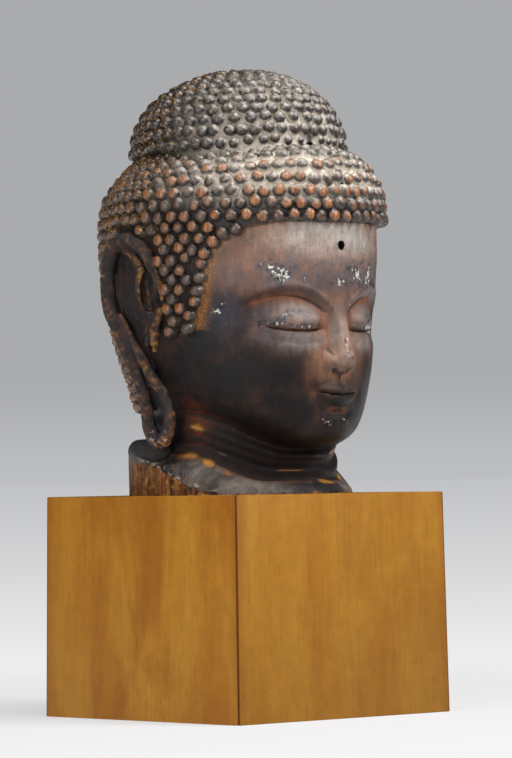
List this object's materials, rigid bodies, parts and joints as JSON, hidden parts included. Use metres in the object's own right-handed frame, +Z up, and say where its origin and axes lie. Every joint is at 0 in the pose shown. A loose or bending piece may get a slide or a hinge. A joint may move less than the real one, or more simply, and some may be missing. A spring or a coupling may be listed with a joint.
{
  "type": "carved wooden Buddha head",
  "caption": "Carved and lacquered wooden head of a Buddha with rows of small curls, long pierced ears and folded neck, on a square honey-brown wooden plinth.",
  "frame": {"origin": "middle of the plinth's underside, on the surface that it stands on", "axes": "+Z up, -Y the way the face looks, +X the figure's left"},
  "size_m": [0.3008, 0.3238, 0.676],
  "materials": {
    "lacquered_wood": "satin",
    "plinth_wood": "satin"
  },
  "bodies": {
    "root": {"head": "lacquered_wood", "plinth_front_board": "plinth_wood", "plinth_right_board": "plinth_wood", "plinth_back_board": "plinth_wood", "plinth_left_board": "plinth_wood", "plinth_top_board": "plinth_wood"}
  },
  "joints": []
}
